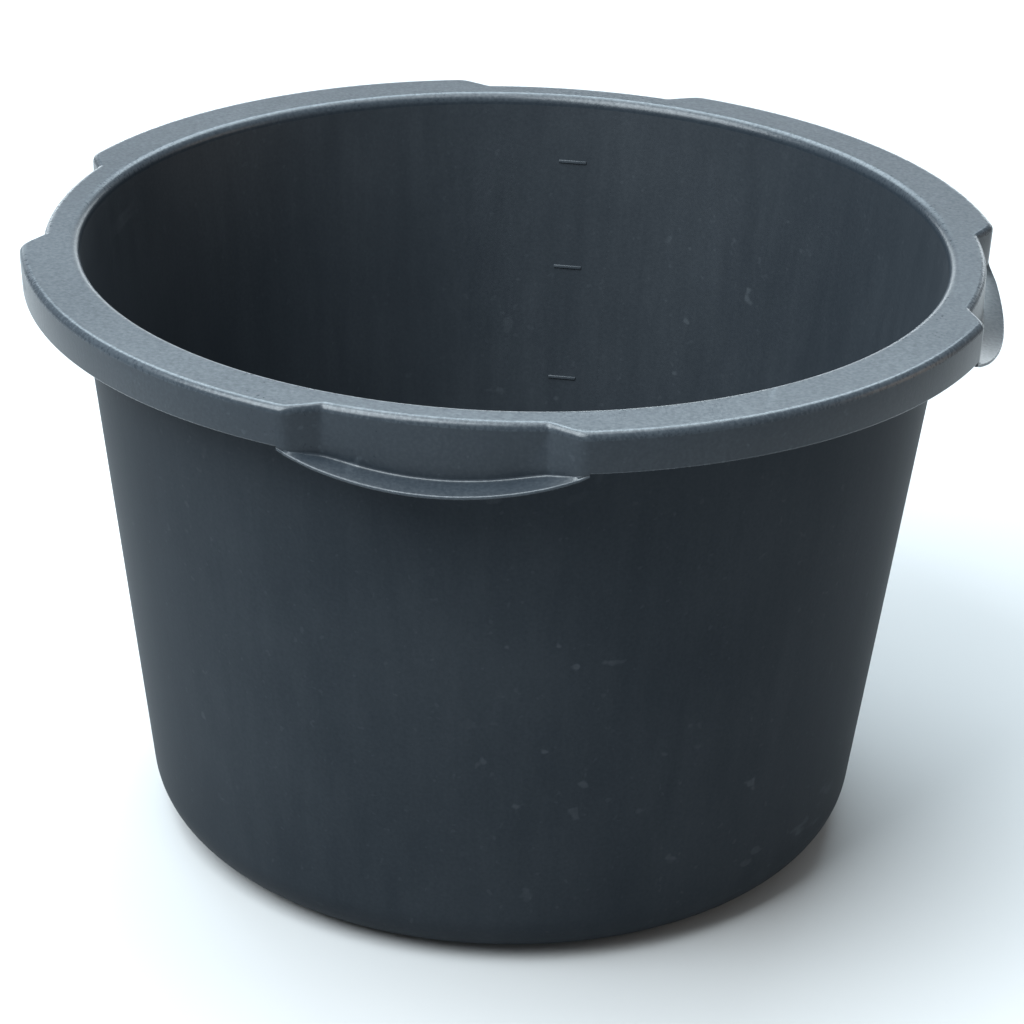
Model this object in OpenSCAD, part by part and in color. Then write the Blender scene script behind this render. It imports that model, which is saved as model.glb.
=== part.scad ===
// Mortar mixing tub of about 90 litres: a tapered round tub with a hanging rim and four grips.
// The tub is one plastic moulding. It is divided here at its own natural lines, and the
// sub-parts meet face to face, so that each one can be looked at and changed by itself.
// Sizes are millimetres. +Z is up, and the origin is on the ground under the middle of the base.
// The grips face -Y (front), +X (right), +Y (back) and -X (left).

/* [Tub] */
// Overall height, from the ground to the flat of the rim
tub_h = 423; // [340:1:540]
// Outside diameter of the wall, carried up to the level of the rim
mouth_d = 590; // [480:2:720]
// Angle between the wall and the vertical
wall_lean = 6.9; // [4:0.1:9]
// Thickness of the wall, square to its face
wall_t = 3.5; // [2.5:0.1:5]
// Outside radius of the corner between wall and floor
corner_r = 43; // [30:1:80]

/* [Floor] */
// Thickness of the floor plate
floor_t = 4; // [3:0.1:6]
// Height of the floor plate's underside above the ground
foot_h = 3.5; // [2:0.1:8]
// Width of the flat ring that the tub stands on
foot_w = 12; // [6:1:25]
// Number of straight ribs under the floor
floor_ribs = 8; // [4:1:12]
// Width of the ribs under the floor
floor_rib_w = 3; // [2:0.5:5]
// Clearance between the ribs under the floor and the ground
floor_rib_gap = 1; // [0.5:0.1:1.8]
// Middle radius of the round rib under the floor
floor_ring_r = 100; // [60:1:130]
// Diameter of the moulding gate's disc in the middle of the underside
gate_d = 20; // [12:1:30]

/* [Rim] */
// How far the rim stands out from the wall, measured level
rim_w = 35; // [28:1:60]
// Thickness of the rim's flat top
rim_t = 3.5; // [2.5:0.1:5]
// Radius of the rounded throat between the inside of the wall and the rim's flat top
throat_r = 7; // [6:0.5:12]
// Radius of the rounded outer shoulder of the rim
shoulder_r = 5; // [4.5:0.1:6]
// Depth of the skirt that hangs from the rim, from the rim's flat top
skirt_h = 27; // [22:1:45]
// Thickness of the skirt
skirt_t = 3; // [2:0.1:4]
// Angle between the skirt and the vertical
skirt_lean = 3; // [0:0.5:9]

/* [Grips] */
// Width of a grip's recess, straight across between its outer corners
grip_w = 190; // [130:2:260]
// Depth of the recess, from the rim's outer face
grip_depth = 15; // [8:0.5:18]
// Length of the sloping face at each end of a recess, along the rim
ramp_w = 24; // [14:1:34]
// How far the top of the lip's edge hangs below the skirt, in the middle
lip_drop = 15.5; // [6:0.5:26]
// How much the lip's top rises from its edge to its root, in the middle
lip_rise = 3.5; // [1:0.1:6]
// Thickness of the lip
lip_t = 2.5; // [2:0.1:4]

/* [Stacking ribs] */
// Number of ribs under the rim between two grips
stack_ribs = 4; // [2:1:5]
// Angle between neighbouring ribs
stack_pitch = 18; // [8:0.5:18]
// Thickness of a rib
stack_rib_t = 3; // [2:0.5:5]
// How far the foot of a rib reaches below the skirt
stack_toe = 8; // [3:0.5:14]
// How far the foot of a rib stands out from the wall
stack_toe_w = 6; // [2:0.5:12]

/* [Level marks] */
// Length of a level mark
mark_w = 21; // [10:1:40]
// Height of a level mark
mark_h = 2.4; // [1:0.1:5]
// How far a level mark stands out from the wall
mark_proud = 0.9; // [0.3:0.1:2]

/* [Hidden] */
$fn = 180;
GRIPS = 4;
GRIP_PITCH = 360 / GRIPS;
FRONT = -90;
MARKS = 4;
// Level marks stand at whole multiples of this many litres
MARK_ROUNDING = 5;
// Share of a step between marks that stays free above the highest mark
MARK_SPARE = 0.5;
// How exactly the height of a mark is found
MARK_EXACT = 0.01;
MM3_PER_LITRE = 1e6;
// Straight run that a sub-part keeps past the end of a blend before the next sub-part starts
land = 1;
// Clearance between the ends of the ribs and what they point at
rib_clear = 2;
// Steps along a grip, and round the corner, the throat and the small rounds
GRIP_STEPS = 44;
CORNER_STEPS = 18;
THROAT_STEPS = 10;
ROUND_STEPS = 6;
// Slices in which the volume is added up
SLICES = 120;
// Generous reach for cutting shapes
far = tub_h + mouth_d;

outside_colour = [0.17, 0.20, 0.23];
inside_colour = [0.14, 0.17, 0.20];
rim_colour = [0.24, 0.27, 0.30];

// Points along an arc, in steps
function arc(centre, r, from, to, steps) =
    [for (i = [0 : steps]) let (a = from + (to - from) * i / steps) centre + r * [cos(a), sin(a)]];

// ---- Wall and floor -------------------------------------------------------

// Wall thickness measured level
wall_level = wall_t / cos(wall_lean);
// Height of the inside of the floor
floor_top = foot_h + floor_t;
// Radius of the corner on the inside
inside_corner_r = corner_r - wall_t;

// Radius of the wall at height z, a level distance inwards from its outside
function wall_r(z, inwards = 0) = mouth_d / 2 - (tub_h - z) * tan(wall_lean) - inwards;

// Centre of a corner of radius r that rests on height z and touches the wall
function corner_centre(inwards, z, r) = [wall_r(z + r, inwards) - r / cos(wall_lean), z + r];

outside_corner = corner_centre(0, 0, corner_r);
inside_corner = corner_centre(wall_level, floor_top, inside_corner_r);

// Height at which the inside corner runs out into the wall
inside_corner_top = inside_corner.y - inside_corner_r * sin(wall_lean);
outside_corner_top = outside_corner.y - corner_r * sin(wall_lean);
// Seams of the corner with the wall above it and with the foot inside it
wall_from = max(inside_corner_top, outside_corner_top) + land;
foot_r = min(inside_corner.x, outside_corner.x) - land;

module floor_plate() {
    color(inside_colour) translate([0, 0, foot_h]) cylinder(r = foot_r - foot_w, h = floor_t);
}

module foot_ring() {
    color(outside_colour) rotate_extrude() translate([foot_r - foot_w, 0]) square([foot_w, floor_top]);
}

module base_corner() {
    color(outside_colour) rotate_extrude() polygon(concat(
        [[foot_r, 0]],
        arc(outside_corner, corner_r, -90, -wall_lean, CORNER_STEPS),
        [[wall_r(wall_from), wall_from], [wall_r(wall_from, wall_level), wall_from]],
        arc(inside_corner, inside_corner_r, -wall_lean, -90, CORNER_STEPS),
        [[foot_r, floor_top]]
    ));
}

module wall_shell() {
    color(outside_colour) rotate_extrude() polygon([
        [wall_r(wall_from), wall_from], [wall_r(wall_to), wall_to],
        [wall_r(wall_to, wall_level), wall_to], [wall_r(wall_from, wall_level), wall_from]
    ]);
}

// Straight and round ribs that stiffen the floor from below, clear of the ground
module floor_ribs_under() {
    h = foot_h - floor_rib_gap;
    from_r = gate_d / 2 + rib_clear;
    color(outside_colour) translate([0, 0, floor_rib_gap]) {
        for (i = [0 : floor_ribs - 1]) rotate([0, 0, 360 * i / floor_ribs]) intersection() {
            translate([from_r, -floor_rib_w / 2, 0]) cube([foot_r, floor_rib_w, h]);
            cylinder(r = foot_r - foot_w, h = h);
        }
        difference() {
            cylinder(r = floor_ring_r + floor_rib_w / 2, h = h);
            translate([0, 0, -1]) cylinder(r = floor_ring_r - floor_rib_w / 2, h = h + 2);
        }
    }
}

// The disc and the trimmed stub that the mould's gate leaves
module gate_mark() {
    disc_h = (foot_h - floor_rib_gap) / 2;
    color(outside_colour) {
        translate([0, 0, foot_h - disc_h]) cylinder(d = gate_d, h = disc_h);
        translate([0, 0, floor_rib_gap]) cylinder(d = gate_d / 3, h = foot_h - floor_rib_gap);
    }
}

// ---- Rim ------------------------------------------------------------------

rim_r = mouth_d / 2 + rim_w;
under_throat_r = throat_r - rim_t;

// Centre of a throat of radius r that touches the wall and the level z
function throat_centre(inwards, z, r) = [wall_r(z - r, inwards) + r / cos(wall_lean), z - r];

throat_top = throat_centre(wall_level, tub_h, throat_r);
throat_under = throat_centre(0, tub_h - rim_t, under_throat_r);

// Seams of the throat with the wall below and with the rim's flat outside it
throat_top_foot = throat_top.y + throat_r * sin(wall_lean);
throat_under_foot = throat_under.y + under_throat_r * sin(wall_lean);
wall_to = min(throat_top_foot, throat_under_foot) - land;
flange_r = max(throat_top.x, throat_under.x) + land;
// Width of the rim's outer edge, from the seam on its flat top to its outer face
edge_w = shoulder_r + land;

// Outline of the underside from the wall round the throat to the level of the rim's flat underside
throat_under_arc = arc(throat_under, under_throat_r, 180 - wall_lean, 90, THROAT_STEPS);

module rim_throat() {
    under_z = tub_h - rim_t;
    color(rim_colour) rotate_extrude() polygon(concat(
        [[wall_r(wall_to), wall_to]], throat_under_arc, [[flange_r, under_z], [flange_r, tub_h]],
        arc(throat_top, throat_r, 90, 180 - wall_lean, THROAT_STEPS),
        [[wall_r(wall_to, wall_level), wall_to]]
    ));
}

// Radius of the skirt's outer face at height z, and its thickness measured level
function skirt_r(z) =
    rim_r - shoulder_r + shoulder_r / cos(skirt_lean) - (tub_h - shoulder_r - z) * tan(skirt_lean);
skirt_level = skirt_t / cos(skirt_lean);
skirt_foot = tub_h - skirt_h;

// Section of the rim's outer edge, set back by a distance, down to a list of points at its foot
function edge_section(back, foot) = concat(
    [[rim_r - back - edge_w, tub_h]],
    arc([rim_r - back - shoulder_r, tub_h - shoulder_r], shoulder_r, 90, -skirt_lean, ROUND_STEPS),
    foot,
    [[skirt_r(tub_h - rim_t) - back - skirt_level, tub_h - rim_t], [rim_r - back - edge_w, tub_h - rim_t]]
);

// The skirt's foot is half round
function skirt_end() =
    let (round_r = skirt_t / 2, z = skirt_foot + round_r)
    arc([skirt_r(z) - skirt_level / 2, z], round_r, -skirt_lean, -180 - skirt_lean, ROUND_STEPS);

grip_half = asin(grip_w / 2 / rim_r);

module rim_skirt(i) {
    gap = GRIP_PITCH - 2 * grip_half;
    color(rim_colour) rotate([0, 0, FRONT + i * GRIP_PITCH + grip_half])
        rotate_extrude(angle = gap) polygon(edge_section(0, skirt_end()));
}

// ---- Grips ----------------------------------------------------------------

ramp_angle = ramp_w / rim_r * 180 / PI;

// Share of a ramp that is rounded where it leaves the rim
RAMP_ROUND = 0.4;

// Depth along a ramp, from 0 to 1: a soft start, then straight to a crease
function ramp(t) = let (u = max(0, min(1, t)), slope = 1 / (1 - RAMP_ROUND / 2))
    slope * (u < RAMP_ROUND ? u * u / (2 * RAMP_ROUND) : u - RAMP_ROUND / 2);

function turned(point, a) = [point.x * cos(a), point.x * sin(a), point.y];

// The recess at an angle from the middle of its grip: 0 at its ends, 1 at its full depth
function recessed(a) = ramp((grip_half - abs(a)) / ramp_angle);
function set_back(a) = grip_depth * recessed(a);
// The skirt leans, and the recess stands upright at its full depth
function recess_r(a, z) = skirt_r(z) + (rim_r - grip_depth - skirt_r(z)) * recessed(a);

// The lip hangs in an arc: 0 at its ends, 1 in the middle
lip_arc_r = (pow(grip_w / 2, 2) + pow(lip_drop, 2)) / (2 * lip_drop);
function hang(a) =
    max(0, sqrt(pow(lip_arc_r, 2) - pow(rim_r * sin(a), 2)) - lip_arc_r + lip_drop) / lip_drop;

// Heights of the lip's top: along its edge, and along the line where it meets the recess
function lip_edge(a) = skirt_foot - lip_drop * hang(a);
function lip_root(a) = skirt_foot - (lip_drop - lip_rise) * hang(a);

// The lip runs out from the skirt's face at its ends to the full radius of the rim
function lip_edge_r(a) = skirt_r(skirt_foot) + (rim_r - skirt_r(skirt_foot)) * recessed(a);

grip_angles = [for (i = [0 : GRIP_STEPS]) grip_half * (2 * i / GRIP_STEPS - 1)];

// A solid through a row of closed outlines that all have the same number of points
module swept(outlines) {
    n = len(outlines[0]);
    last = len(outlines) - 1;
    polyhedron(
        points = [for (outline = outlines) each outline],
        faces = concat(
            [[for (j = [n - 1 : -1 : 0]) j], [for (j = [0 : n - 1]) last * n + j]],
            [for (i = [0 : last - 1], j = [0 : n - 1]) let (k = (j + 1) % n)
                [i * n + j, i * n + k, (i + 1) * n + j]],
            [for (i = [0 : last - 1], j = [0 : n - 1]) let (k = (j + 1) % n)
                [i * n + k, (i + 1) * n + k, (i + 1) * n + j]]
        )
    );
}

// The flat top runs out to the edge, and follows it round the recesses
module rim_flange() {
    edge = [for (i = [0 : GRIPS - 1], a = grip_angles)
        let (b = a + FRONT + i * GRIP_PITCH) (rim_r - edge_w - set_back(a)) * [cos(b), sin(b)]];
    color(rim_colour) translate([0, 0, tub_h - rim_t]) linear_extrude(rim_t) difference() {
        union() {
            polygon(edge);
            for (i = [0 : GRIPS - 1]) rotate(FRONT + i * GRIP_PITCH + grip_half) sector(rim_r - edge_w);
        }
        circle(flange_r);
    }
}

// The part of a disc between two grips
module sector(r) {
    gap = GRIP_PITCH - 2 * grip_half;
    intersection() {
        circle(r);
        polygon([[0, 0], far * [1, 0], far * [cos(gap / 2), sin(gap / 2)], far * [cos(gap), sin(gap)]]);
    }
}

module grip_recess(i) {
    color(rim_colour) rotate([0, 0, FRONT + i * GRIP_PITCH]) swept([for (a = grip_angles)
        let (z = lip_root(a), r = recess_r(a, z))
        [for (point = edge_section(set_back(a), [[r, z], [r - skirt_level, z]])) turned(point, a)]
    ]);
}

module grip_lip(i) {
    color(rim_colour) rotate([0, 0, FRONT + i * GRIP_PITCH]) swept([for (a = grip_angles)
        let (root = lip_root(a), edge = lip_edge(a), r = recess_r(a, root), edge_r = lip_edge_r(a))
        [for (point = [
            [r - skirt_level, root], [r, root],
            [edge_r, edge], [edge_r, edge - lip_t], [r - skirt_level, root - lip_t]
        ]) turned(point, a)]
    ]);
}

// ---- Stacking ribs --------------------------------------------------------

// Section of a rib: it fills the space behind the skirt and runs down to a toe on the wall
function stack_rib_section() =
    let (top = tub_h - rim_t, low = skirt_foot + skirt_t, toe = skirt_foot - stack_toe)
    concat([[wall_r(toe), toe]], throat_under_arc, [
        [skirt_r(top) - skirt_level, top], [skirt_r(low) - skirt_level, low],
        [wall_r(toe) + stack_toe_w, toe]
    ]);

module stacking_ribs() {
    wide = stack_rib_t / wall_r(skirt_foot) * 180 / PI;
    color(outside_colour) for (i = [0 : GRIPS - 1], j = [0 : stack_ribs - 1])
        rotate([0, 0, FRONT + (i + 0.5) * GRIP_PITCH + (j - (stack_ribs - 1) / 2) * stack_pitch - wide / 2])
            rotate_extrude(angle = wide) polygon(stack_rib_section());
}

// ---- Level marks ----------------------------------------------------------

function total(values) = values * [for (value = values) 1];
function inside_r(z) = z > inside_corner_top ? wall_r(z, wall_level)
    : inside_corner.x + sqrt(pow(inside_corner_r, 2) - pow(inside_corner.y - z, 2));

// Litres that the tub holds when it is filled to height z
function litres(z) = let (slice = (z - floor_top) / SLICES)
    total([for (i = [0.5 : SLICES]) PI * pow(inside_r(floor_top + i * slice), 2) * slice]) / MM3_PER_LITRE;

// Height at which the tub holds so many litres, found by halving
function fill_height(wanted, low, high) = let (middle = (low + high) / 2)
    high - low < MARK_EXACT ? middle
    : litres(middle) < wanted ? fill_height(wanted, middle, high)
    : fill_height(wanted, low, middle);

capacity = litres(tub_h);
mark_litres = MARK_ROUNDING * floor(capacity / (MARKS + MARK_SPARE) / MARK_ROUNDING);
echo(capacity = capacity, mark_litres = mark_litres);

// A low bar on the inside of the wall under the back grip, its top face at the level it marks
module level_mark(i) {
    top = fill_height(i * mark_litres, floor_top, tub_h);
    low = top - mark_h;
    wide = mark_w / wall_r(top, wall_level) * 180 / PI;
    color(inside_colour) rotate([0, 0, -FRONT - wide / 2]) rotate_extrude(angle = wide) polygon([
        [wall_r(low, wall_level), low], [wall_r(top, wall_level), top],
        [wall_r(top, wall_level + mark_proud), top - mark_proud / 2],
        [wall_r(low, wall_level + mark_proud), low + mark_proud / 2]
    ]);
}

floor_plate();
foot_ring();
floor_ribs_under();
gate_mark();
base_corner();
wall_shell();
rim_throat();
rim_flange();
rim_skirt(0);  // rim_skirt_front_right
rim_skirt(1);  // rim_skirt_back_right
rim_skirt(2);  // rim_skirt_back_left
rim_skirt(3);  // rim_skirt_front_left
grip_recess(0);  // grip_recess_front
grip_recess(1);  // grip_recess_right
grip_recess(2);  // grip_recess_back
grip_recess(3);  // grip_recess_left
grip_lip(0);  // grip_lip_front
grip_lip(1);  // grip_lip_right
grip_lip(2);  // grip_lip_back
grip_lip(3);  // grip_lip_left
stacking_ribs();
level_mark(1);  // level_mark_1
level_mark(2);  // level_mark_2
level_mark(3);  // level_mark_3
level_mark(4);  // level_mark_4
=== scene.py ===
# %% [markdown]
# # A mortar mixing tub
# This lesson models a round plastic tub of about 90 litres, as builders use to mix mortar. It is
# one moulding in real life. Here it is divided at its natural lines into a floor, a corner, a
# wall, a throat, a flat rim with four skirts, four grips, ribs and level marks, and every piece
# meets its neighbour face to face, so that the joins don't show. The new pieces stand exactly
# where it says.

import math

import bmesh
import bpy
from mathutils import Matrix, Vector


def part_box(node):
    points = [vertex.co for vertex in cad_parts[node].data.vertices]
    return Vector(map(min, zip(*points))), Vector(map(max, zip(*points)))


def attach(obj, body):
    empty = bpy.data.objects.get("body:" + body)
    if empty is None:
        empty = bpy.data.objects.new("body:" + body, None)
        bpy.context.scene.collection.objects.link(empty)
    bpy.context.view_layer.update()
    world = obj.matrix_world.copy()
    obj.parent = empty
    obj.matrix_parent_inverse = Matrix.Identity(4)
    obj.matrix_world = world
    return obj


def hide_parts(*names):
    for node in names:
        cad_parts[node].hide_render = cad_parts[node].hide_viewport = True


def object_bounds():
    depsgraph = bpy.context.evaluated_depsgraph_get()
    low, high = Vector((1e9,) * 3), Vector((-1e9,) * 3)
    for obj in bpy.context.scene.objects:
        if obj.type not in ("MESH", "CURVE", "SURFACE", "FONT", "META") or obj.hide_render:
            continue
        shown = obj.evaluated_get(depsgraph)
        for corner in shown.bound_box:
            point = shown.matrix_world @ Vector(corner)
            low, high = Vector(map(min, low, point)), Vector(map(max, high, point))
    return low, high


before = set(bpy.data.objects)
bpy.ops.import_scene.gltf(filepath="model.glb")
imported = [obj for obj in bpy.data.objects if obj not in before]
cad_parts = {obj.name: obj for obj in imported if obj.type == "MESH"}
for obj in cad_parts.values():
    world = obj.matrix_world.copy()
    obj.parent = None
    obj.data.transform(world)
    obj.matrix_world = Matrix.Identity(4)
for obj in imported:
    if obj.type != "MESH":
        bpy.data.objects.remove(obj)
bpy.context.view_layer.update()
MM = 0.001


# %% [markdown]
# ## The sizes of the moulding
# A moulding like this is drawn from few numbers: how wide and high it is, how much the wall leans
# so that it comes out of the mould and nests, and the radii of its roundings. The outer sizes are
# measured on the engineering model. The rest are the mould's own values, in metres.

# %% Sizes
tub_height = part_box("rim_flange")[1].z
rim_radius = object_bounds()[1].x
floor_under, floor_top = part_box("floor_plate")[0].z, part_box("floor_plate")[1].z
rim_width = 35 * MM
wall_lean = math.radians(6.9)
wall_thick = 3.5 * MM
corner_radius = 43 * MM
foot_width = 12 * MM
rim_thick = 3.5 * MM
throat_radius = 7 * MM
shoulder_radius = 5 * MM
skirt_height = 27 * MM
skirt_thick = 3 * MM
skirt_lean = math.radians(3)
grip_width = 190 * MM
grip_depth = 15 * MM
ramp_width = 24 * MM
lip_drop = 15.5 * MM
lip_rise = 3.5 * MM
lip_thick = 2.5 * MM
land = 1 * MM
mouth_radius = rim_radius - rim_width
print("height", round(tub_height / MM), "mm, rim", round(2 * rim_radius / MM), "mm across")

# %% [markdown]
# ## Profiles
# Every turned part is drawn first as a flat profile: points that give a distance from the axis
# and a height. Straight lines and arcs are enough. The wall is one leaning line, and the corner
# and the throat are arcs that touch it, so their centres follow from the lean.

# %% Profile helpers
def arc(centre, radius, start, stop, steps):
    """Points on an arc, from one angle to another in degrees."""
    angles = [math.radians(start + (stop - start) * i / steps) for i in range(steps + 1)]
    return [(centre[0] + radius * math.cos(a), centre[1] + radius * math.sin(a)) for a in angles]


def wall_radius(height, inwards=0.0):
    """Distance of the wall from the axis, less a level distance inwards."""
    return mouth_radius - (tub_height - height) * math.tan(wall_lean) - inwards


def corner_centre(inwards, floor, radius):
    return wall_radius(floor + radius, inwards) - radius / math.cos(wall_lean), floor + radius


def throat_centre(inwards, level, radius):
    return wall_radius(level - radius, inwards) + radius / math.cos(wall_lean), level - radius


lean_degrees = math.degrees(wall_lean)
wall_level = wall_thick / math.cos(wall_lean)
inside_corner_radius = corner_radius - wall_thick
outside_corner = corner_centre(0, 0, corner_radius)
inside_corner = corner_centre(wall_level, floor_top, inside_corner_radius)
wall_from = max(
    inside_corner[1] - inside_corner_radius * math.sin(wall_lean),
    outside_corner[1] - corner_radius * math.sin(wall_lean),
) + land
foot_radius = min(inside_corner[0], outside_corner[0]) - land
under_radius = throat_radius - rim_thick
throat_top = throat_centre(wall_level, tub_height, throat_radius)
throat_under = throat_centre(0, tub_height - rim_thick, under_radius)
wall_to = min(
    throat_top[1] + throat_radius * math.sin(wall_lean),
    throat_under[1] + under_radius * math.sin(wall_lean),
) - land
flange_radius = max(throat_top[0], throat_under[0]) + land
print("the flat foot ends", round(foot_radius / MM), "mm from the axis")
print("the wall runs from", round(wall_from / MM), "to", round(wall_to / MM), "mm high")

# %% [markdown]
# ## From profile to piece
# A lathe shape is a profile that is turned about the axis, which is what the spin operator does.
# A full turn merges its last ring with its first. A part turn is open at both ends, so the two
# ends are filled. Where a profile changes on its way round, as it does at a grip, the turned
# points are moved afterwards: each one remembers its row in the profile, and goes where that row
# lies at its angle. Edges that turn by more than 35 degrees are marked sharp, and all else is
# shaded smooth, so that the flat cuts where pieces meet don't darken the surface beside them.
# Each point also stores two values for the finish: how tightly the surface bends there, since
# edges are rubbed first, and how level it lies, since level faces have a glossier skin. A piece
# that is part of the inside gets a second finish, its lining, on the faces that look upwards or
# at the axis.

# %% Turning and finishing
SHARP = math.radians(35)
TURN_STEPS = 360
# Points closer together than this are one point
MERGE = 0.01 * MM
# The bend, as one over a radius in metres, at which an edge is fully rubbed
RUBBED_BEND = 300.0
# Neighbouring faces count as at least this far apart, so that no bend grows without limit
LEAST_ACROSS = 0.1 * MM
# The upward part of a normal from which a face counts as level
LEVEL_FROM = 0.6


def turned(profile, start=0.0, sweep=360.0, steps=TURN_STEPS, section=None):
    """A closed profile turned about the vertical axis, from a start angle in degrees."""
    full = sweep == 360.0
    bm = bmesh.new()
    row = bm.verts.layers.int.new("row")
    points = [bm.verts.new((radius, 0, height)) for radius, height in profile]
    for number, point in enumerate(points):
        point[row] = number
    edges = [bm.edges.new(pair) for pair in zip(points, points[1:] + points[:1])]
    to_start = Matrix.Rotation(math.radians(start), 3, "Z")
    bmesh.ops.rotate(bm, verts=points, cent=(0, 0, 0), matrix=to_start)
    bmesh.ops.spin(
        bm, geom=points + edges, cent=(0, 0, 0), axis=(0, 0, 1),
        angle=math.radians(sweep), steps=steps, use_merge=full,
    )
    if section:
        for point in bm.verts:
            angle = math.atan2(point.co.y, point.co.x)
            radius, height = section(math.degrees(angle))[point[row]]
            point.co = (radius * math.cos(angle), radius * math.sin(angle), height)
    if not full:
        bmesh.ops.holes_fill(bm, edges=[edge for edge in bm.edges if edge.is_boundary], sides=0)
    bmesh.ops.remove_doubles(bm, verts=bm.verts, dist=MERGE)
    bm.verts.layers.int.remove(bm.verts.layers.int["row"])
    return bm


def bend(edge):
    """How tightly the surface bends outwards over an edge, as one over the radius in metres."""
    angle = edge.calc_face_angle_signed(0.0)
    if abs(angle) > SHARP:
        return 0.0
    first, second = (face.calc_center_median() for face in edge.link_faces)
    return angle / max((first - second).length, LEAST_ACROSS)


def finish_piece(name, bm, material, slot, *nodes, lining=None):
    """Closes a piece, shades it, gives it its material, and lets it stand for its CAD nodes."""
    bmesh.ops.recalc_face_normals(bm, faces=bm.faces)
    bm.normal_update()
    for face in bm.faces:
        face.smooth = True
        middle = face.calc_center_median()
        at_axis = face.normal.x * middle.x + face.normal.y * middle.y < 0
        face.material_index = int(bool(lining) and (at_axis or face.normal.z > LEVEL_FROM))
    rubbed = bm.verts.layers.float.new("rubbed")
    level = bm.verts.layers.float.new("level")
    for point in bm.verts:
        point[level] = max(0.0, min(1.0, point.normal.z / LEVEL_FROM))
    for edge in bm.edges:
        edge.smooth = abs(edge.calc_face_angle_signed(0.0)) < SHARP
        for point in edge.verts:
            point[rubbed] = max(point[rubbed], min(1.0, bend(edge) / RUBBED_BEND))
    open_edges = sum(not edge.is_manifold for edge in bm.edges)
    mesh = bpy.data.meshes.new(name)
    bm.to_mesh(mesh)
    bm.free()
    piece = bpy.data.objects.new(name, mesh)
    bpy.context.scene.collection.objects.link(piece)
    mesh.materials.append(material)
    if lining:
        mesh.materials.append(lining)
    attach(piece, "root")
    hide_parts(*nodes)
    print(f"{name}: {len(mesh.polygons)} faces, {open_edges} open edges")


# %% [markdown]
# ## Writing shader maths plainly
# A node tree is easier to read as a sum than as boxes and wires. The small class below wraps one
# output socket, and adding, subtracting or multiplying two of them adds the Math node for it.
# Every other node comes from one method, which sets its settings first and then its inputs.

# %% Shader helper
class Socket:
    """One output of a node tree, with the operators that the finishes use."""

    def __init__(self, tree, out):
        self.tree, self.out = tree, out

    def node(self, kind, settings=None, **inputs):
        made = self.tree.nodes.new(kind)
        for key, value in (settings or {}).items():
            setattr(made, key, value)
        for key, value in inputs.items():
            numbered = key[0] == "i" and key[1:].isdigit()
            port = made.inputs[int(key[1:]) if numbered else key]
            if isinstance(value, Socket):
                self.tree.links.new(value.out, port)
            else:
                port.default_value = value
        return made

    def math(self, operation, other, swap=False):
        first, second = (other, self) if swap else (self, other)
        made = self.node("ShaderNodeMath", {"operation": operation}, i0=first, i1=second)
        return Socket(self.tree, made.outputs[0])

    def __add__(self, other):
        return self.math("ADD", other)

    def __mul__(self, other):
        return self.math("MULTIPLY", other)

    def __sub__(self, other):
        return self.math("SUBTRACT", other)

    def __rsub__(self, other):
        return self.math("SUBTRACT", other, swap=True)

    __radd__, __rmul__ = __add__, __mul__

    def between(self, low, high):
        """0 below the low value, 1 above the high value, and a soft step between."""
        settings = {"interpolation_type": "SMOOTHSTEP"}
        limits = {"From Min": low, "From Max": high}
        made = self.node("ShaderNodeMapRange", settings, Value=self, **limits)
        return Socket(self.tree, made.outputs["Result"])


# %% [markdown]
# ## The plastic
# The tub is recycled polyethylene with carbon black: a dark, slightly blue grey that is satin
# rather than glossy. Four things keep it from looking like a flat colour: the melt flowed up the
# mould, which leaves faint upright streaks; the surface has a sandy orange peel; it is dusty in
# clouds; and use leaves short pale scuffs and specks. Raised edges are rubbed a little lighter
# and smoother, and level faces carry a glossy skin, which is a coat over the satin base.
# All of it reads object coordinates, so the pattern runs on from one piece to the next.
# The inside is dustier than the outside, and the rim, where hands slide, is the glossiest.

# %% The finish
# Grains in a metre for each pattern, and how some patterns are drawn out along one axis
CLOUD_SCALE, STREAK_SCALE, PEEL_SCALE, GRIT_SCALE = 7, 60, 420, 1500
SPECK_SCALE, SCUFF_SCALE, SCUFFED_AREA_SCALE = 170, 60, 5
# Where each mark starts and where it is full, as values of its own pattern
SPECKS, SCUFFS, SCUFFED_AREAS, WORN = (0.70, 0.76), (0.66, 0.72), (0.52, 0.66), (0.2, 1.0)
UPRIGHT, SIDEWAYS = (1, 1, 0.10), (1, 0.08, 1)
# The lightness at which the palest colour is reached
PALEST = 1.6
SPECK_SHARE = 0.35
WORN_PALER, WORN_SMOOTHER = 0.30, 0.06
SAND_ON_GLOSS, SAND_ON_ROUGHNESS = 4.0, 0.2
CLOUD_ROUGHER, STREAK_ROUGHER, SCUFF_ROUGHER = 0.10, 0.05, 0.10
PEEL_RELIEF, GRIT_RELIEF, STREAK_RELIEF, SCUFF_RELIEF = 0.5, 0.3, 0.8, 0.6
RELIEF_DEPTH = 0.35 * MM
PLASTIC_IOR = 1.5


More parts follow.
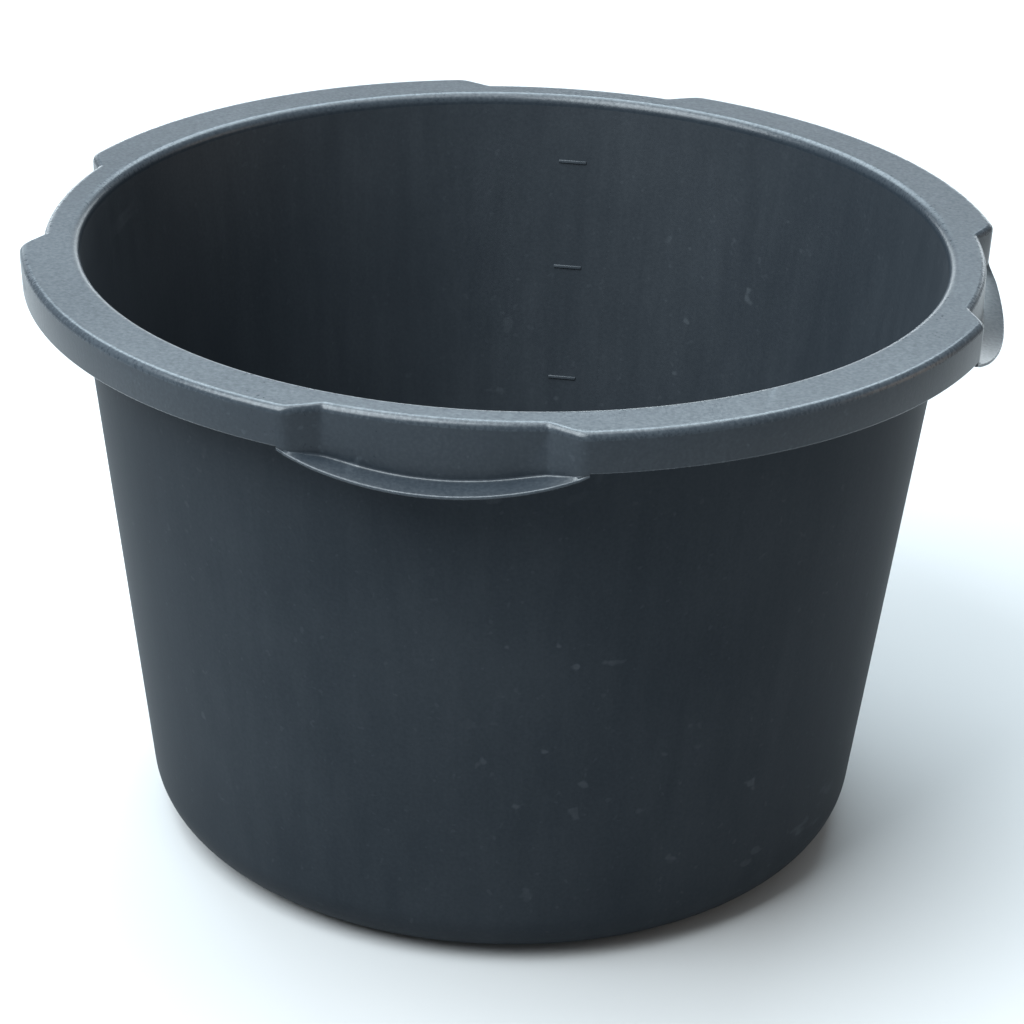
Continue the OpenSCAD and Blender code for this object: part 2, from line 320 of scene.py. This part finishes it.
def plastic(
    name, darkest, palest, shine, gloss, roughness, paleness, grain, sand, streaks, scuffs, dust
):
    """Satin black polyethylene between two colours. The last values are all strengths."""
    material = bpy.data.materials.new(name)
    material.use_nodes = True
    tree = material.node_tree
    shader = tree.nodes["Principled BSDF"]
    coordinates = Socket(tree, tree.nodes.new("ShaderNodeTexCoord").outputs["Object"])

    def noise(scale, detail=2.0, stretch=(1, 1, 1), rough=0.5):
        place = coordinates.node("ShaderNodeMapping", Vector=coordinates, Scale=stretch)
        made = coordinates.node(
            "ShaderNodeTexNoise",
            Vector=Socket(tree, place.outputs[0]), Scale=scale, Detail=detail, Roughness=rough,
        )
        return Socket(tree, made.outputs["Fac"])

    def stored(attribute):
        """A value that each point of the mesh stores."""
        made = coordinates.node("ShaderNodeAttribute", {"attribute_name": attribute})
        return Socket(tree, made.outputs["Fac"])

    def blend(amount, first, second):
        settings = {"data_type": "RGBA"}
        made = coordinates.node("ShaderNodeMix", settings, i0=amount, i6=first, i7=second)
        return Socket(tree, made.outputs[2])

    cloud = noise(CLOUD_SCALE, 3) - 0.5
    streak = noise(STREAK_SCALE, 4, UPRIGHT, 0.65)
    peel = noise(PEEL_SCALE)
    speck = noise(SPECK_SCALE, 1).between(*SPECKS)
    scuffed_area = noise(SCUFFED_AREA_SCALE).between(*SCUFFED_AREAS)
    scuff = noise(SCUFF_SCALE, 2, SIDEWAYS).between(*SCUFFS) * scuffed_area
    worn = stored("rubbed").between(*WORN)
    sandy = (peel - 0.5) * sand

    lightness = paleness + cloud * dust + (streak - 0.5) * streaks + sandy
    lightness = lightness + speck * (SPECK_SHARE * scuffs) + scuff * scuffs + worn * WORN_PALER
    tint = blend(lightness.between(0.0, PALEST), (*darkest, 1), (*palest, 1))
    tree.links.new(tint.out, shader.inputs["Base Color"])

    rougher = cloud * CLOUD_ROUGHER + (streak - 0.5) * STREAK_ROUGHER + scuff * SCUFF_ROUGHER
    varied = roughness + rougher - worn * WORN_SMOOTHER + sandy * SAND_ON_ROUGHNESS
    tree.links.new(varied.out, shader.inputs["Roughness"])
    shader.inputs["IOR"].default_value = PLASTIC_IOR
    shader.inputs["Specular IOR Level"].default_value = shine

    coat = stored("level") * (sandy * SAND_ON_GLOSS + 1.0) * gloss
    tree.links.new(coat.out, shader.inputs["Coat Weight"])
    shader.inputs["Coat Roughness"].default_value = roughness

    relief = peel * PEEL_RELIEF + noise(GRIT_SCALE, 1) * GRIT_RELIEF
    relief = relief + streak * STREAK_RELIEF - scuff * SCUFF_RELIEF
    bump = coordinates.node("ShaderNodeBump", Strength=grain, Distance=RELIEF_DEPTH, Height=relief)
    tree.links.new(bump.outputs[0], shader.inputs["Normal"])
    print("material", name, "with", len(tree.nodes), "nodes")
    return material


outside_finish = plastic(
    "outside_plastic", (0.014, 0.0185, 0.0235), (0.074, 0.084, 0.095), shine=0.02, gloss=0.0,
    roughness=0.46, paleness=0.40, grain=0.25, sand=0.2, streaks=0.22, scuffs=0.34, dust=0.35,
)
inside_finish = plastic(
    "inside_plastic", (0.0165, 0.021, 0.0265), (0.065, 0.076, 0.087), shine=0.30, gloss=0.1,
    roughness=0.46, paleness=0.36, grain=0.30, sand=0.3, streaks=0.42, scuffs=0.40, dust=0.50,
)
rim_finish = plastic(
    "rim_plastic", (0.018, 0.024, 0.031), (0.092, 0.108, 0.123), shine=0.19, gloss=0.46,
    roughness=0.31, paleness=0.22, grain=0.34, sand=0.5, streaks=0.15, scuffs=0.50, dust=0.35,
)

# %% [markdown]
# ## Floor, foot and corner
# The tub stands on a flat ring, and the floor hangs a little above the ground inside it. The
# floor is a disc that is drawn as a filled circle and pulled up to its thickness. The ring and
# the rounded corner are turned profiles. The ring's inner edge has a small rounding, because a
# mould never leaves a knife edge where the part is handled.

# %% Floor, foot ring and base corner
CORNER_STEPS = 24
FOOT_STEPS = 6
foot_round = 1.5 * MM
floor_disc = bmesh.new()
floor_radius = foot_radius - foot_width
bmesh.ops.create_circle(floor_disc, cap_ends=True, radius=floor_radius, segments=TURN_STEPS)
bmesh.ops.translate(floor_disc, verts=floor_disc.verts, vec=(0, 0, floor_under))
pulled = bmesh.ops.extrude_face_region(floor_disc, geom=floor_disc.faces[:])
upper = [item for item in pulled["geom"] if isinstance(item, bmesh.types.BMVert)]
bmesh.ops.translate(floor_disc, verts=upper, vec=(0, 0, floor_top - floor_under))
finish_piece(
    "floor", floor_disc, outside_finish, "inside_plastic", "floor_plate", lining=inside_finish
)

foot_profile = [(foot_radius, 0), (foot_radius, floor_top), (floor_radius, floor_top)]
foot_profile += arc((floor_radius + foot_round, foot_round), foot_round, 180, 270, FOOT_STEPS)
foot = turned(foot_profile)
finish_piece("foot", foot, outside_finish, "outside_plastic", "foot_ring", lining=inside_finish)

corner_profile = [(foot_radius, 0)]
corner_profile += arc(outside_corner, corner_radius, -90, -lean_degrees, CORNER_STEPS)
corner_profile += [(wall_radius(wall_from), wall_from)]
corner_profile += [(wall_radius(wall_from, wall_level), wall_from)]
corner_profile += arc(inside_corner, inside_corner_radius, -lean_degrees, -90, CORNER_STEPS)
corner_profile += [(foot_radius, floor_top)]
corner = turned(corner_profile)
finish_piece(
    "corner", corner, outside_finish, "outside_plastic", "base_corner", lining=inside_finish
)

# %% [markdown]
# ## Wall and throat
# The wall is a straight leaning line with an even thickness. Above it the throat rolls outwards
# into the flat of the rim. Both its faces are arcs about nearly the same centre, which keeps the
# plastic the same thickness round the bend, as a mould maker would.

# %% Wall and throat
THROAT_STEPS = 16
wall_profile = [
    (wall_radius(wall_from), wall_from), (wall_radius(wall_to), wall_to),
    (wall_radius(wall_to, wall_level), wall_to), (wall_radius(wall_from, wall_level), wall_from),
]
wall = turned(wall_profile)
finish_piece("wall", wall, outside_finish, "outside_plastic", "wall_shell", lining=inside_finish)

throat_profile = [(wall_radius(wall_to), wall_to)]
throat_profile += arc(throat_under, under_radius, 180 - lean_degrees, 90, THROAT_STEPS)
throat_profile += [(flange_radius, tub_height - rim_thick), (flange_radius, tub_height)]
throat_profile += arc(throat_top, throat_radius, 90, 180 - lean_degrees, THROAT_STEPS)
throat_profile += [(wall_radius(wall_to, wall_level), wall_to)]
finish_piece("throat", turned(throat_profile), rim_finish, "rim_plastic", "rim_throat")

# %% [markdown]
# ## The shape of a grip
# At each grip the rim's edge steps back, and a lip hangs below it for the fingers. The step is a
# ramp: it leaves the rim in a soft curve and meets the recess in a crease. Towards the lip the
# crease opens into a shallow fan, like the inside of a cone. One function gives the depth at any
# angle and height, and the flat top, the recess and the lip all use it, so they always meet.

# %% Grip functions
GRIPS = {"front": -90, "right": 0, "back": 90, "left": 180}
grip_half = math.degrees(math.asin(grip_width / 2 / rim_radius))
ramp_angle = math.degrees(ramp_width / rim_radius)
# Share of a ramp that is rounded where it leaves the rim
RAMP_ROUND = 0.4
# Width of the fan in degrees, and the share of the recess's depth that it takes away
FAN_ANGLE, FAN_SHARE = 3.2, 0.16
# The lip drops a little at once at its ends, over so many degrees
LIP_STEP, LIP_STEP_ANGLE = 0.8 * MM, 1.4
edge_width = shoulder_radius + land
skirt_foot = tub_height - skirt_height
skirt_level = skirt_thick / math.cos(skirt_lean)


def clamped(value):
    return max(0.0, min(1.0, value))


def smooth(t):
    u = clamped(t)
    return u * u * (3 - 2 * u)


def ramp(t):
    """From 0 to 1: a soft start over the ramp's rounding, then straight to a crease."""
    u = clamped(t)
    slope = 1 / (1 - RAMP_ROUND / 2)
    return slope * (u * u / (2 * RAMP_ROUND) if u < RAMP_ROUND else u - RAMP_ROUND / 2)


def recessed(a, low=0.0):
    """The recess at an angle from its middle, as a share of its depth. low is 1 at the lip."""
    past = grip_half - abs(a) - ramp_angle
    fan = max(0.0, 1 - max(0.0, past) / (FAN_ANGLE * low)) ** 2 if low > 0 else 0.0
    return ramp((grip_half - abs(a)) / ramp_angle) * (1 - FAN_SHARE * low * fan)


def skirt_radius(height):
    start = rim_radius - shoulder_radius + shoulder_radius / math.cos(skirt_lean)
    return start - (tub_height - shoulder_radius - height) * math.tan(skirt_lean)


def recess_radius(a, height):
    """The recess's outer face: it leans like the skirt at its ends and is upright at full depth."""
    low = clamped((tub_height - shoulder_radius - height) / (skirt_height - shoulder_radius))
    leaning, upright = skirt_radius(height), rim_radius - grip_depth
    return leaning + (upright - leaning) * recessed(a, low)


lip_arc_radius = ((grip_width / 2) ** 2 + lip_drop ** 2) / (2 * lip_drop)


def hang(a):
    """The lip's arc: 0 at its ends and 1 in the middle."""
    across = rim_radius * math.sin(math.radians(a))
    below = math.sqrt(lip_arc_radius ** 2 - across ** 2) - lip_arc_radius + lip_drop
    return max(0.0, below) / lip_drop


def lip_edge(a):
    step = LIP_STEP * smooth((grip_half - abs(a)) / LIP_STEP_ANGLE)
    return skirt_foot - step - (lip_drop - LIP_STEP) * hang(a)


def lip_root(a):
    return skirt_foot - (lip_drop - lip_rise) * hang(a)


def lip_edge_radius(a):
    start = skirt_radius(skirt_foot)
    return start + (rim_radius - start) * recessed(a)


print("a grip spans", round(2 * grip_half, 1), "degrees")
print("each of its ramps spans", round(ramp_angle, 1), "degrees")

# %% [markdown]
# ## The flat of the rim
# The flat top is a thin ring. Its outer edge follows the recesses, so it is turned in quarter
# degree steps, which is fine enough for the ramps, and only its outer rows are moved inwards.

# %% Flat top
FINE_STEP = 0.25


def from_grip(angle):
    """The angle from the middle of the nearest grip, in degrees."""
    return (angle + 45) % 90 - 45


def flange_section(angle):
    edge = rim_radius - edge_width - grip_depth * recessed(from_grip(angle))
    under = tub_height - rim_thick
    return [(flange_radius, under), (flange_radius, tub_height), (edge, tub_height), (edge, under)]


flange = turned(flange_section(45), steps=int(360 / FINE_STEP), section=flange_section)
finish_piece("flat_rim", flange, rim_finish, "rim_plastic", "rim_flange")

# %% [markdown]
# ## Skirts
# Between the grips the rim turns down into a skirt, which stiffens it. Its profile runs over a
# rounded shoulder, down the leaning outer face, round a half-round foot and up the inside, with
# a small fillet where it meets the underside of the flat.

# %% Skirts
ROUND_STEPS = 10
FILLET_STEPS = 4
SKIRT_FILLET = 1.5 * MM
ARC_END = -math.degrees(skirt_lean)


def edge_start(back):
    """The flat's end and the rounded shoulder, set back by a distance."""
    centre = (rim_radius - back - shoulder_radius, tub_height - shoulder_radius)
    shoulder = arc(centre, shoulder_radius, 90, ARC_END, ROUND_STEPS)
    return [(rim_radius - back - edge_width, tub_height)] + shoulder


def edge_stop(back):
    """The fillet inside the skirt's root, and the underside of the flat's end."""
    under = tub_height - rim_thick
    inner = skirt_radius(under) - skirt_level
    centre = (inner - back - SKIRT_FILLET, under - SKIRT_FILLET)
    fillet = arc(centre, SKIRT_FILLET, 0, 90, FILLET_STEPS)
    return fillet + [(rim_radius - back - edge_width, under)]


end_radius = skirt_thick / 2
end_height = skirt_foot + end_radius
end_centre = (skirt_radius(end_height) - skirt_level / 2, end_height)
skirt_end = arc(end_centre, end_radius, ARC_END, ARC_END - 180, ROUND_STEPS)
skirt_profile = edge_start(0) + skirt_end + edge_stop(0)
skirt_sweep = 90 - 2 * grip_half
SKIRTS = {"front_right": -90, "back_right": 0, "back_left": 90, "front_left": 180}
for side, start in SKIRTS.items():
    skirt = turned(skirt_profile, start + grip_half, skirt_sweep, int(skirt_sweep))
    finish_piece("skirt_" + side, skirt, rim_finish, "rim_plastic", "rim_skirt_" + side)

# %% [markdown]
# ## Recesses
# A recess is the same edge of the rim, but set back, and cut off where the lip begins. Its outer
# face has several rows, so that the fan can open gradually from the top to the lip.

# %% Recesses
FACE_ROWS = 12


def recess_section(angle):
    a = from_grip(angle)
    back, root = grip_depth * recessed(a), lip_root(a)
    top = tub_height - shoulder_radius * (1 + math.sin(skirt_lean))
    heights = [top + (root - top) * i / FACE_ROWS for i in range(1, FACE_ROWS + 1)]
    face = [(recess_radius(a, height), height) for height in heights]
    cut = [(face[-1][0] - skirt_level, root)]
    return edge_start(back) + face + cut + edge_stop(back)


def gripwise(section, centre):
    steps = int(2 * grip_half / FINE_STEP)
    return turned(section(centre), centre - grip_half, 2 * grip_half, steps, section)


for side, centre in GRIPS.items():
    recess = gripwise(recess_section, centre)
    finish_piece("recess_" + side, recess, rim_finish, "rim_plastic", "grip_recess_" + side)

# %% [markdown]
# ## Lips
# The lip is the shelf that the fingers pull on. Its top slopes down from a filleted root to a
# rounded edge. Towards its ends the shelf gets narrow, and the fillet fades out with it.

# %% Lips
LIP_FILLET = 1.6 * MM
LIP_FILLET_STEPS = 6
# The width of the shelf at which the fillet has its full radius
FULL_SHELF = 9 * MM
# How far the fillet's foot sinks, as a share of the slope of the lip's top
FILLET_SINK = 0.1
# Where the rounding of the edge starts, in degrees: it touches the sloping top
EDGE_START = 80
lip_round = lip_thick / 2


def lip_section(angle):
    a = from_grip(angle)
    root, edge = lip_root(a), lip_edge(a)
    face, reach = recess_radius(a, root), lip_edge_radius(a)
    shelf = clamped((reach - face) / FULL_SHELF)
    fillet = LIP_FILLET * shelf
    foot = root + fillet - (root - edge) * shelf * FILLET_SINK
    turns = [math.radians(90 * i / LIP_FILLET_STEPS) for i in range(LIP_FILLET_STEPS + 1)]
    root_curve = [(face + fillet * (1 - math.cos(t)), foot - fillet * math.sin(t)) for t in turns]
    edge_centre = (reach - lip_round, edge - lip_round)
    edge_curve = arc(edge_centre, lip_round, EDGE_START, -90, ROUND_STEPS)
    inner = face - skirt_level
    return root_curve + edge_curve + [(inner, root - lip_thick), (inner, root)]


for side, centre in GRIPS.items():
    lip = gripwise(lip_section, centre)
    finish_piece("lip_" + side, lip, rim_finish, "rim_plastic", "grip_lip_" + side)

# %% [markdown]
# ## Level marks
# The marks inside are low bars that tell the mixer 20, 40, 60 and 80 litres. Each one is a block
# with rounded edges, set into the leaning wall so that only its face stands proud.

# %% Level marks
MARK_DEPTH = 2 * MM
MARK_ROUNDING = 0.5 * MM
# How far the middle of a block lies behind the wall's inner face
MARK_SINK = 0.1 * MM
for number in range(1, 5):
    node = f"level_mark_{number}"
    low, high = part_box(node)
    size, middle = high - low, (high + low) / 2
    mark = bmesh.new()
    bmesh.ops.create_cube(mark, size=1.0)
    bmesh.ops.scale(mark, verts=mark.verts, vec=(size.x, MARK_DEPTH, size.z))
    bmesh.ops.bevel(
        mark, geom=mark.edges[:], offset=MARK_ROUNDING, segments=3, profile=0.5,
        affect="EDGES", material=-1,
    )
    lean = Matrix.Rotation(-wall_lean, 3, "X")
    bmesh.ops.rotate(mark, verts=mark.verts, cent=(0, 0, 0), matrix=lean)
    place = (0, wall_radius(middle.z, wall_level) + MARK_SINK, middle.z)
    bmesh.ops.translate(mark, verts=mark.verts, vec=place)
    finish_piece(f"mark_{number}", mark, inside_finish, "inside_plastic", node)

# %% [markdown]
# ## Ribs
# The ribs under the rim and under the floor, and the gate's disc, are plain blocks that are right
# as the engineering model has them. They stay, and only take the outside finish.

# %% Ribs and gate
for node in ("stacking_ribs", "floor_ribs_under", "gate_mark"):
    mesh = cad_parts[node].data
    mesh.materials.clear()
    mesh.materials.append(outside_finish)
    print(node, "keeps its own shape,", len(mesh.polygons), "faces")

# %% [markdown]
# ## Camera
# The tub is seen from above at 25.5 degrees, with a long lens and from over two metres away, so
# that the rim's ellipse is only a little wider in front. The grip marked front sits left of the
# middle, so the camera stands a little to the right. The camera is turned about its own line of
# sight by a degree and a half, as a hand-held one is.

# %% Camera
aim = Vector((0.0030, 0.0003, 0.2158))
distance, azimuth, elevation, roll = 2.3961, 8.29, 25.46, 1.62
LENS = 120.75


def from_aim(azimuth, elevation):
    """A unit vector from the tub towards a camera or a light. Azimuth 0 is in front."""
    a, e = math.radians(azimuth), math.radians(elevation)
    return Vector((math.sin(a) * math.cos(e), -math.cos(a) * math.cos(e), math.sin(e)))


def look_along(direction, turn=0.0):
    rolled = Matrix.Rotation(math.radians(turn), 3, "Z").to_quaternion()
    return direction.to_track_quat("-Z", "Y") @ rolled


camera_data = bpy.data.cameras.new("camera")
camera_data.lens = LENS
camera_data.sensor_width = 36
camera_data.clip_end = 50
camera = bpy.data.objects.new("camera", camera_data)
bpy.context.scene.collection.objects.link(camera)
camera.location = aim + from_aim(azimuth, elevation) * distance
camera.rotation_mode = "QUATERNION"
camera.rotation_quaternion = look_along(-from_aim(azimuth, elevation), roll)
bpy.context.scene.camera = camera
print("camera at", [round(v, 3) for v in camera.location])

# %% [markdown]
# ## Floor and light
# A dark satin surface looks like what it mirrors. The flat rim mirrors what stands low behind it,
# so a wide soft light stands there, and a long one near the horizon draws the thin line along
# the near inner edge. The rounded edges mirror what is overhead, so another light hangs there
# and draws the lines along the shoulder and the lips. The front wall mirrors only the ground,
# and stays dark. The key light comes from the front left, and a weak warm one from the right.

# %% Floor and lights
GROUND_SIZE = 15
GROUND_GREY, GROUND_ROUGHNESS = 0.50, 0.9
SKY_TINT, SKY_STRENGTH = (0.88, 0.95, 1.0), 0.32
ground_mesh = bmesh.new()
bmesh.ops.create_grid(ground_mesh, x_segments=1, y_segments=1, size=GROUND_SIZE)
ground_data = bpy.data.meshes.new("ground")
ground_mesh.to_mesh(ground_data)
ground_mesh.free()
ground = bpy.data.objects.new("ground", ground_data)
bpy.context.scene.collection.objects.link(ground)
ground_finish = bpy.data.materials.new("ground")
ground_finish.use_nodes = True
ground_shader = ground_finish.node_tree.nodes["Principled BSDF"]
ground_shader.inputs["Base Color"].default_value = (GROUND_GREY, GROUND_GREY, GROUND_GREY, 1)
ground_shader.inputs["Roughness"].default_value = GROUND_ROUGHNESS
ground_data.materials.append(ground_finish)


def soft_light(name, azimuth, elevation, distance, size, power, colour):
    """A soft light aimed at the tub, in degrees, metres and watts."""
    data = bpy.data.lights.new(name, "AREA")
    data.shape = "RECTANGLE"
    data.size, data.size_y = size
    data.energy = power
    data.color = colour
    light = bpy.data.objects.new(name, data)
    bpy.context.scene.collection.objects.link(light)
    light.location = Vector((0, 0, tub_height / 2)) + from_aim(azimuth, elevation) * distance
    light.rotation_mode = "QUATERNION"
    light.rotation_quaternion = look_along(-from_aim(azimuth, elevation))


COOL, SKY, WARM = (0.76, 0.91, 1.0), (0.86, 0.95, 1.0), (1.0, 0.80, 0.62)
soft_light("behind", 193, 50, 4.2, (4.2, 2.4), 235, COOL)
soft_light("horizon", 188, 5.5, 6.0, (8.0, 1.0), 90, SKY)
soft_light("key", -46, 54, 3.2, (2.6, 2.6), 240, SKY)
soft_light("overhead", 180, 84, 3.0, (2.0, 2.0), 60, SKY)
soft_light("right", 100, 10, 3.4, (1.6, 1.6), 12, WARM)

world = bpy.data.worlds.new("studio")
world.use_nodes = True
background = world.node_tree.nodes["Background"]
background.inputs["Color"].default_value = (*SKY_TINT, 1)
background.inputs["Strength"].default_value = SKY_STRENGTH
bpy.context.scene.world = world
bpy.context.scene.view_settings.view_transform = "Standard"
